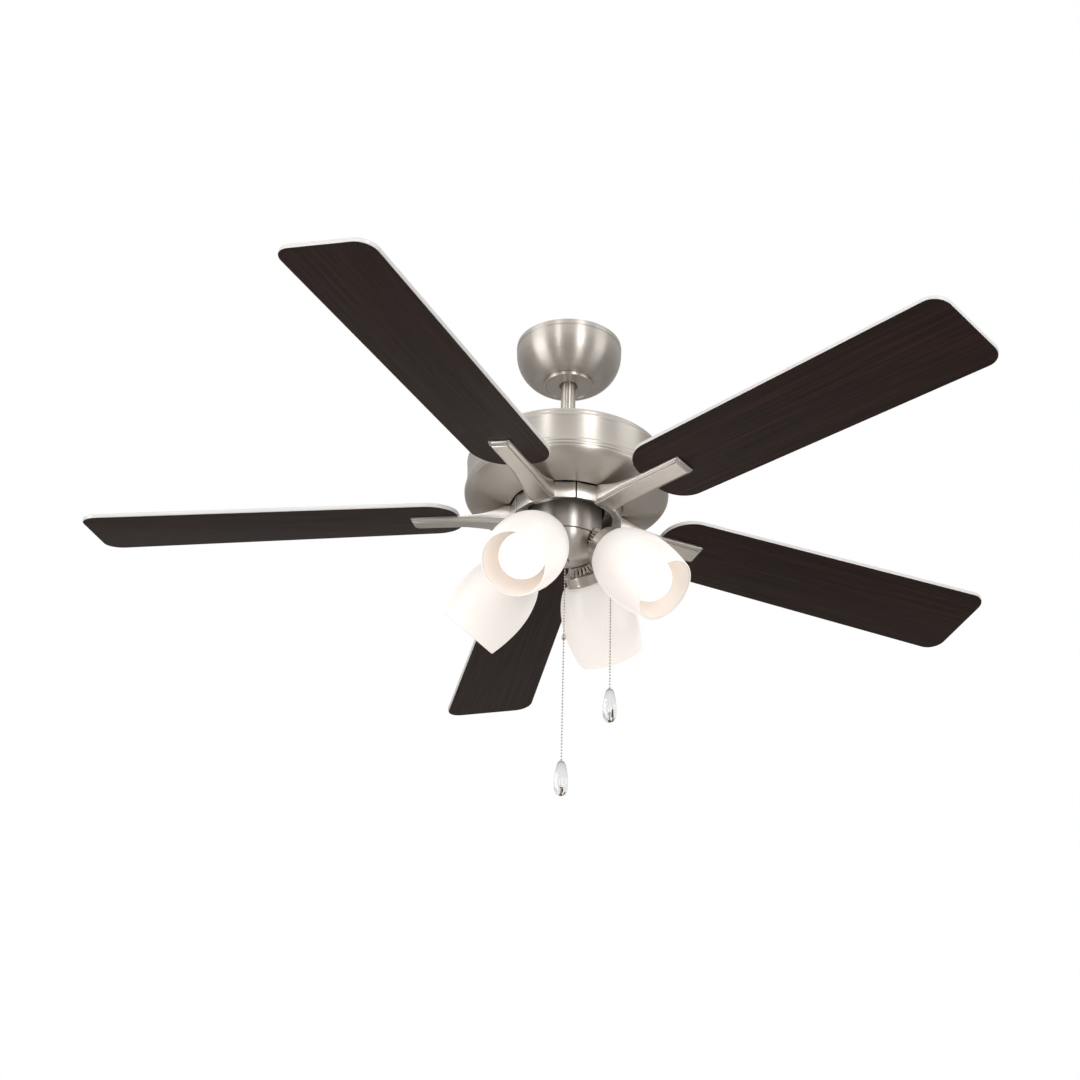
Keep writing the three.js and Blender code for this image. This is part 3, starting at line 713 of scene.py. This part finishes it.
# ---- motor covers --------------------------------------------------------
def motor_covers():
    # a rolled bead at the foot, a straight drum, a rolled bead at the shoulder and a dished top
    outside = eased([
        (134.9, 31.2), (136.8, 31.2, 0.8), (137.5, 33.4, 1.6), (136.4, 35.9, 0.8), (135.2, 36.4, 0.5),
        (136.3, 38.4, 1.2), (135.5, 41, 0.9), (134.4, 42.2, 0.8), (134.0, 60, 8), (134.7, 75.5, 1.2),
        (135.2, 77.4, 0.8), (134.2, 80, 1), (131.4, 82.6, 0.8), (131.7, 84.6, 0.7), (130.2, 88.4, 1.6),
        (127.6, 90.6, 2), (121, 92.8, 3), (105, 95, 5), (62, 97.6, 6), (56, 98.6, 1), (50, 98.6, 1),
        (44, 98, 1), (8.3, 98),
    ])
    inside = [(8.3, 96.8), (60, 96.4), (105, 93.8), (120, 91.6), (126.4, 89.2), (129.8, 83), (133.2, 77),
              (132.8, 60), (133.2, 42), (133.6, 31.2)]
    make("motor_drum", turned([*outside, *inside], 160), NICKEL, "fan_body", ["motor_housing"])
    bowl = walled(flowing([(75.7, 11.6), (84, 11.7), (96, 12.6), (109, 14.9), (120, 17.7), (129, 21),
                           (134, 24.4), (136.6, 27.8), (137.1, 30.8)]))
    make("motor_bowl_dished", turned(bowl, 160), NICKEL, "fan_body", ["motor_bowl"])
    screws("motor_cover_screws", 3.8, 2.4, [around(45 + 90 * k) @ at(92, 0, 95.9) for k in range(4)],
           "fan_body")


# ---- blades and blade irons ----------------------------------------------
def blade_places():
    return [around(BLADE_PHASE + 360 * k / BLADE_COUNT) for k in range(BLADE_COUNT)]


BLADE_LEAN = around(-BLADE_RISE, "Y") @ around(BLADE_PITCH, "X")


def blade_panel():
    """A flat blank with rounded corners and eased edges: foil all over, veneer underneath."""
    slope = (BLADE_HALF_TIP - BLADE_HALF_ROOT) / (BLADE_TIP - BLADE_ROOT)
    bm = bmesh.new()
    corners = [bm.verts.new((x, BLADE_MID + side * half, 0)) for x, half, side in (
        (BLADE_ROOT, BLADE_HALF_ROOT, -1), (BLADE_TIP, BLADE_HALF_TIP, -1),
        (BLADE_TIP, BLADE_HALF_TIP, 1), (BLADE_ROOT, BLADE_HALF_ROOT, 1))]
    bm.faces.new(corners)
    for pair, radius in ((corners[1:3], BLADE_TIP_RADIUS), ([corners[0], corners[3]], BLADE_ROOT_RADIUS)):
        bmesh.ops.bevel(bm, geom=pair, offset=radius * (1 - slope), offset_type="OFFSET", segments=14,
                        profile=0.5, affect="VERTICES", material=-1)
    grown = bmesh.ops.extrude_face_region(bm, geom=list(bm.faces))
    lifted = [v for v in grown["geom"] if isinstance(v, bmesh.types.BMVert)]
    bmesh.ops.translate(bm, verts=lifted, vec=(0, 0, BLADE_THICK))
    bmesh.ops.recalc_face_normals(bm, faces=bm.faces)
    soften(bm, 1.1, 3, sharper=60)
    for face in bm.faces:
        face.material_index = 0 if face.normal.z < -0.9 else 1
    return bm


# [radius, half width, underside, top, share of the blade's twist]
IRON_STATIONS = [
    (66, 18.5, -14, 9, 0), (78, 18.5, -14, 9, 0), (84, 18.3, -13.5, 7.4, 0.06), (90, 18, -12.6, 5, 0.15),
    (98, 17.8, -11.6, 2.8, 0.3), (106, 17.5, -10.6, 1, 0.45), (115, 17.2, -9.6, 0, 0.65),
    (124, 17, -8.8, -0.3, 0.8), (132, 16.7, -8.1, -0.3, 0.93), (140, 16.5, -7.6, -0.3, 1),
    (170, 16.5, -7.3, -0.3, 1), (202, 16.4, -7, -0.3, 1), (202.5, 16.4, -5.9, -0.3, 1),
    (203.3, 16.3, -5.9, -0.3, 1), (203.8, 16.2, -6.5, -0.3, 1), (206.6, 15.9, -4.6, -0.3, 1),
    (208, 15.3, -2.6, -0.3, 1),
]


def iron_section(half, low, high):
    """Across an arm: flat panel below, a fine groove and a sloping border on each side."""
    deep = min(1.0, (high - low) / 6.7)
    side = [(half, high), *[(half - inset, low + rise * deep) for inset, rise in (
        (0, 4.4), (0.5, 3.4), (3.6, 1.3), (4.0, 1.9), (4.7, 1.9), (5.1, 0.4), (5.7, 0))]]
    return [*side, *[(-v, w) for v, w in reversed(side)]]


def iron_arm():
    rise = math.tan(math.radians(BLADE_RISE))
    rows = []
    for out, half, low, high, twist in IRON_STATIONS:
        lean = math.radians(BLADE_PITCH * twist)
        row = []
        for across, up in iron_section(half, low, high):
            side = across + BLADE_MID * twist
            row.append(Vector((out, side * math.cos(lean) - up * math.sin(lean),
                               out * rise + side * math.sin(lean) + up * math.cos(lean))))
        rows.append(row)
    return skinned(rows)


def ring_sector(outer, inner, angles, low, high):
    corners = [(outer * math.cos(math.radians(a)), outer * math.sin(math.radians(a))) for a in angles]
    span = angles[-1]
    inward = [span - span * k / 6 for k in range(13)]
    corners += [(inner * math.cos(math.radians(a)), inner * math.sin(math.radians(a))) for a in inward]
    return slab(corners, low, high)


FACET_ANGLE = 14.5               # half of the angle of a foot's flat middle
FOOT_SLOPE = 0.38                # rise of the foot's underside towards the axis
LIP_THICK = 5.0


def blade_iron():
    half_span = 180 / BLADE_COUNT - 0.6
    facets = [-half_span, -FACET_ANGLE, FACET_ANGLE, half_span]
    foot = ring_sector(FOOT_R, FOOT_INNER, facets, FOOT_BOTTOM, FOOT_TOP)
    for v in foot.verts:
        if v.co.z < FOOT_BOTTOM + 1:
            v.co.z += (FOOT_R - Vector((v.co.x, v.co.y)).length) * FOOT_SLOPE
    soften(foot, 0.7, 2, sharper=24)
    lip = ring_sector(FOOT_INNER + 2, LIP_INNER, [half_span * (k - 3) / 3 for k in range(7)],
                      FOOT_TOP - LIP_THICK, FOOT_TOP)
    whole = carved(foot, lip, iron_arm(), operation="UNION")
    # faces inside the ring of feet take the second coat, painted shade in the recess
    for face in whole.faces:
        middle = face.calc_center_median()
        in_painted_shade = Vector((middle.x, middle.y)).length < FOOT_INNER + 0.6 and middle.z > FOOT_BOTTOM + 6
        face.material_index = 1 if in_painted_shade else 0
    return whole


WASHER_THICK = 1.1


def blades():
    panel, iron = blade_panel(), blade_iron()
    remember(iron)
    screw_spots = [(160, BLADE_MID), (188, BLADE_MID + 8), (188, BLADE_MID - 8)]
    tops, feet = [], []
    for k, place in enumerate(blade_places()):
        make(f"blade_{k + 1}_panel", placed(panel, place @ BLADE_LEAN), (VENEER, FOIL), "rotor",
             [f"blade_{k + 1}"])
        make(f"blade_iron_{k + 1}_cast", placed(iron, place), (CAST, IRON_PAINTED_SHADE), "rotor", [f"blade_iron_{k + 1}"],
             crease=28)
        tops += [place @ BLADE_LEAN @ at(x, y, BLADE_THICK) for x, y in screw_spots]
        feet += [place @ around(a) @ at(57.5, 0, FOOT_TOP - LIP_THICK) @ around(180, "X") for a in (-20, 20)]
    washer = turned(eased([(2, 0), (6.2, 0), (6.2, WASHER_THICK, 0.3), (2, WASHER_THICK)]), 28)
    make("blade_washers", gathered(*[placed(washer, place) for place in tops]), FIBRE, "rotor")
    screws("blade_screws", 4.4, 2.4, [place @ at(0, 0, WASHER_THICK) for place in tops], "rotor")
    screws("iron_screws", 3.4, 2.2, feet, "rotor", ZINC)


# ---- switch housing and light pan ----------------------------------------
def switch_housing():
    wall = turned(eased([(46.4, SEAM_Z), (47.2, SEAM_Z, 0.3), (HOUSING_R, SEAM_Z + 0.9, 0.5),
                         (HOUSING_R, HOUSING_TOP, 0.6), (46.4, HOUSING_TOP, 0.4)]), 96)
    slot = placed(block(12, 6.4, 15, HOUSING_R, 0, -20), around(SWITCH_AZIMUTH))
    make("switch_housing_cup", carved(wall, slot), NICKEL, "fan_body", ["switch_housing"])
    pan = walled(flowing([(4, PAN_BOTTOM), (12, -67.2), (22, -65.2), (31.4, -61.9), (39.6, -56.9),
                          (44.6, -50.7), (46.1, -45.4), (46.3, SEAM_Z - 0.9)], 4))
    make("light_pan_spun", turned(pan, 96), NICKEL, "fan_body", ["light_pan"])
    screws("switch_housing_screws", 2.7, 1.5, [on_wall(258 + 120 * k, HOUSING_R, -36.6) for k in range(3)],
           "fan_body")
    bushing = turned(eased([(1.9, -72), (4.2, -72, 0.5), (5.4, -70.6, 0.4), (5.4, PAN_BOTTOM - GAP, 0.3),
                            (3.6, PAN_BOTTOM - GAP), (3.6, PAN_BOTTOM + 3), (1.9, PAN_BOTTOM + 3)]), 40)
    make("pan_chain_bushing", bushing, BRIGHT, "fan_body", ["chain_bushing"])
    guide = turned(eased([(2.2, 0), (6, 0), (6, 1.8, 0.6), (3.6, 2.6, 0.6), (3.6, 9, 2), (4.8, 11.5, 0.4),
                          (4, 12, 0.4), (2.2, 9.5)]), 40)
    make("light_chain_guide", placed(guide, on_wall(GUIDE_AZIMUTH, HOUSING_R + GAP, GUIDE_Z)), BRIGHT,
         "fan_body", ["chain_guide"])
    knob = soften(block(10, 5.4, 5, 46, 0, -24.5), 0.6)
    ribs = [soften(block(1.4, 5.0, 0.6, 51, 0, -26.1 + 1.6 * k), 0.2) for k in range(3)]
    plate = soften(block(2.4, 9, 8, 43.3, 0, -24.5), 0.4)
    make("reverse_slide_knob", placed(gathered(knob, plate, *ribs), around(SWITCH_AZIMUTH)), ABS,
         "reverse_slider", ["reverse_switch"])


# ---- light kit -----------------------------------------------------------
FLUTES = 22
NECK_START, NECK_END = -36.2, -12.9  # the fluted part, along a lamp's own axis
FLUTE_DEPTH = 3.2
VALLEY = 0.4                     # share of a flute's swing whose valley is painted with shade
STAND_OFF = 1.024                # the space that the fluted neck keeps clear, over the pan's own


def rib_at(point):
    """How far up a rib a point round the neck is: nought in a valley, one on a crest."""
    return abs(math.sin(math.atan2(point.y, point.x) * FLUTES / 2))


def fluted(bm):
    """Presses long rounded ribs into the neck, with sharp valleys between them."""
    for v in bm.verts:
        radius = Vector((v.co.x, v.co.y)).length
        if NECK_START < v.co.z < NECK_END and radius > 8:
            ends = min(1, (v.co.z - NECK_START) / 3, (NECK_END - v.co.z) / 1.5)
            depth = FLUTE_DEPTH * ends * (1 - rib_at(v.co) ** 1.2)
            v.co.xy *= 1 - depth / radius
    return bm


def shade_glass():
    outer = flowing([(28.8, 3.2), (33.2, 5.0), (37.2, 9.8), (41.8, 18.4), (45.2, 27.6), (48, 38), (49.8, 49),
                     (50.6, 61), (50.4, 72), (49.2, 85), (47, 99), (44, SHADE_LENGTH)], 3)
    bm = turned(walled([(20.8, GAP), (25.2, GAP), (25.2, 3.2), *outer], GLASS), 96)
    soften(bm, 1.25, 3, sharper=50, where=lambda p: p.z > SHADE_LENGTH - 1.5)
    soften(bm, 0.8, 2, sharper=60, where=lambda p: p.z < 4)
    # inward faces take the inside copy, with its weaker painted glow and warmer painted tint
    for face in bm.faces:
        middle = face.calc_center_median()
        inward = face.normal.dot(Vector((middle.x, middle.y, 0)).normalized()) < -0.3
        face.material_index = 1 if inward or (face.normal.z > 0.5 and middle.z < 40) else 0
    return bm


def light_kit():
    fitter = fluted(turned(eased([
        (4, -37), (13.8, -37, 0.8), (15.1, -33.6), (15.5, -30), (16.3, -26.6), (17.5, -23), (19, -19.6),
        (20.7, -16.6), (22.3, -14), (23, -12.6), (26.4, -12.5, 0.8), (27.3, -11.2, 0.8), (27.3, -1.2, 0.4),
        (27.9, -0.4, 0.4), (27.9, 2.6, 0.5), (25.7, 2.6), (25.7, 0), (20, 0), (20, -11), (4, -11),
    ], 2), FLUTES * 8))
    collar = turned([(4, -37), (12.4, -37), (12.4, -28), (4, -28)], 48)
    pan = [(0, PAN_BOTTOM - GAP), (12, -67.6), (22, -65.7), (31.7, -62.3), (40, -57.2), (45.1, -50.9),
           (46.6, -45.5), (HOUSING_R + GAP, SEAM_Z), (HOUSING_R + GAP, HOUSING_TOP), (0, HOUSING_TOP)]
    inner_space = turned(pan, 96)
    socket = soften(turned([(0, -10.6), (19, -10.6), (19, 26), (14.4, 26), (14.4, -8), (0, -8)], 48), 0.7)
    keeper = soften(turned([(19.2, 7), (25.5, 7), (24.6, 10.6), (20.4, 11.8), (19.2, 11.8)], 48), 0.4)
    glass = shade_glass()
    lamp = turned([(0, 8), (12.8, 8), (12.8, 20), *flowing([
        (12.9, 22), (14.6, 29.4), (17.6, 40), (22.6, 52), (27.4, 63), (29.8, 74), (29.6, 84), (26.4, 94.4),
        (19.8, 102.4), (10.4, 106.9), (0, 108)], 4)], 64)
    cap = turned(eased([(0, -7), (4.6, -7, 0.6), (5.6, -5.2), (11, -4, 0.6), (12.6, -2.6, 0.5),
                        (12, -1.8, 0.3), (12.6, 0.2, 0.5), (12, 1.2, 0.3), (12.6, 3.2, 0.5), (12, 4.2, 0.3),
                        (12.8, 7.8), (0, 7.8)], 2), 48)
    lean = at(LIGHT_SEAT_R, 0, LIGHT_SEAT_Z) @ around(90 + LIGHT_DIP, "Y")
    # the fluted neck stands off the pan by a shadow gap; a plain collar inside it meets the pan
    cleared = placed(inner_space, at(0, 0, -1) @ Matrix.Diagonal((STAND_OFF, STAND_OFF, 1, 1)))
    neck = carved(placed(fitter, lean), cleared)
    fitter = carved(neck, carved(placed(collar, lean), inner_space), operation="UNION")
    # faces in the flute valleys take the second coat, painted shade in the creases
    own = fitter.verts.layers.float_vector["own"]
    for face in fitter.faces:
        middle = sum((v[own] for v in face.verts), Vector()) / len(face.verts) / MM
        on_neck = NECK_START + 1 < middle.z < NECK_END - 0.5
        face.material_index = 1 if on_neck and rib_at(middle) < VALLEY else 0
    for k in range(LIGHT_COUNT):
        turn = around(LIGHT_PHASE + 360 * k / LIGHT_COUNT)
        place = turn @ lean
        n = k + 1
        make(f"fitter_{n}_fluted", placed(fitter, turn), (FITTER_NICKEL, FLUTE_PAINTED_SHADE), "fan_body", [f"fitter_{n}"],
             crease=50)
        make(f"lamp_socket_{n}_porcelain", placed(socket, place), PORCELAIN, "fan_body",
             [f"lamp_socket_{n}"])
        make(f"shade_{n}_keeper_ring", placed(keeper, place), BRIGHT, "fan_body")
        make(f"shade_{n}_opal", placed(glass, place), (SHADE_OUT, SHADE_IN), "fan_body", [f"shade_{n}"])
        make(f"lamp_{n}_envelope", placed(lamp, place), LAMP, "fan_body", [f"bulb_{n}"])
        make(f"lamp_{n}_screw_cap", placed(cap, place), BRIGHT, "fan_body")


ceiling_mount()
hanger()
motor_covers()
blades()
switch_housing()
light_kit()

# ---- CAD nodes that stay, in their own finishes ----------------------------
CARRIED = {
    "hanger_bracket": ZINC, "coupling": ZINC, "coupling_pin": ZINC, "switch_plate": ZINC,
    "motor_shaft": BEARING, "lower_bearing": BEARING, "upper_bearing": BEARING,
    "stator_core": STACK, "stator_winding": WIRE,
    "rotor_bottom_shell": ALUMINIUM, "rotor_top_shell": ALUMINIUM, "flywheel": RUBBER,
    "speed_switch": ABS, "light_switch": ABS, "capacitor": ABS,
}
for name, coat in CARRIED.items():
    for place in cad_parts[name].material_slots:
        place.material = coat


# ---- studio --------------------------------------------------------------
FLOOR_Z = -2.4


def studio_floor():
    bm = bmesh.new()
    bmesh.ops.create_grid(bm, x_segments=1, y_segments=1, size=30, matrix=at(0, 0, FLOOR_Z))
    mesh = bpy.data.meshes.new("studio_floor")
    bm.to_mesh(mesh)
    bm.free()
    mesh.materials.append(plain_stock("pale_painted_floor", "#C6C3BF", "#CBC8C4", 900, 0.6, 0.7))
    floor = bpy.data.objects.new("studio_floor", mesh)
    bpy.context.scene.collection.objects.link(floor)


def softbox(name, place, target, width, height, power):
    data = bpy.data.lights.new(name, "AREA")
    data.shape, data.size, data.size_y, data.energy = "RECTANGLE", width, height, power
    lamp = bpy.data.objects.new(name, data)
    lamp.matrix_world = (Matrix.Translation(place)
                         @ (Vector(target) - Vector(place)).to_track_quat("-Z", "Y").to_matrix().to_4x4())
    lamp.visible_camera = False
    bpy.context.scene.collection.objects.link(lamp)


# Metal sees the room's far side at 0.62 and the near side in full. The light that the room sheds
# has no far side and is dimmed to 0.55. Each pair is (factor, offset) on a ray's being diffuse.
FAR_SIDE = (-0.62, 0.62)
DIMMING = (-0.45, 1.0)
THROUGH_DROPS = 0.5              # share of plain white in what shows through the clear drops
NEAR_AND_ABOVE = (-0.2, -0.78, 0.6)


def surroundings():
    """White to the eye. Metal sees a bright room above and a dim one below; the light that the
    room sheds comes from the near side and above."""
    world = bpy.data.worlds.new("studio")
    bpy.context.scene.world = world
    world.use_nodes = True
    tree = world.node_tree
    tree.nodes.clear()
    way = add(tree, "TexCoord").outputs["Generated"]
    near = add(tree, "VectorMath", {0: way, 1: NEAR_AND_ABOVE}, operation="DOT_PRODUCT").outputs["Value"]
    upward = spread(tree, add(tree, "SeparateXYZ", {"Vector": way}).outputs["Z"], 0, 1, -0.03, 0.25)
    ray = add(tree, "LightPath").outputs

    def reckoned(operation, *values):
        return add(tree, "Math", dict(enumerate(values)), operation=operation).outputs[0]

    far_side = reckoned("MULTIPLY_ADD", ray["Is Diffuse Ray"], *FAR_SIDE)
    dimming = reckoned("MULTIPLY_ADD", ray["Is Diffuse Ray"], *DIMMING)
    direct = reckoned("MULTIPLY_ADD", ray["Is Transmission Ray"], THROUGH_DROPS, ray["Is Camera Ray"])
    share = reckoned("MULTIPLY", spread(tree, near, far_side, 1, -0.1, 0.75), upward)
    level = reckoned("MULTIPLY", spread(tree, share, 0.1, 1.12, 0, 1), dimming)
    room = add(tree, "Background", {"Color": rgb("#FFFDFB"), "Strength": level})
    seen = add(tree, "Background", {"Color": rgb("#FFFFFF"), "Strength": 1.0})
    both = add(tree, "MixShader", {0: direct, 1: room.outputs[0], 2: seen.outputs[0]})
    add(tree, "OutputWorld", {"Surface": both.outputs[0]})


studio_floor()
surroundings()
HEART = (0, 0, -0.2)
softbox("left_panel", (-2.6, -1.2, -0.6), HEART, 1.5, 2.6, 31)
softbox("centre_strip", (-1.2, -2.9, 0.4), HEART, 0.3, 1.8, 11)
softbox("right_strip", (1.25, -2.85, 0.0), HEART, 0.7, 2.4, 30)
softbox("right_panel", (2.5, -1.0, -0.2), HEART, 1.2, 2.2, 12)
softbox("floor_wash", (-0.3, 2.1, -1.85), (-0.3, 2.1, -2.4), 1.4, 0.8, 14)
bpy.context.scene.view_settings.view_transform = "Standard"
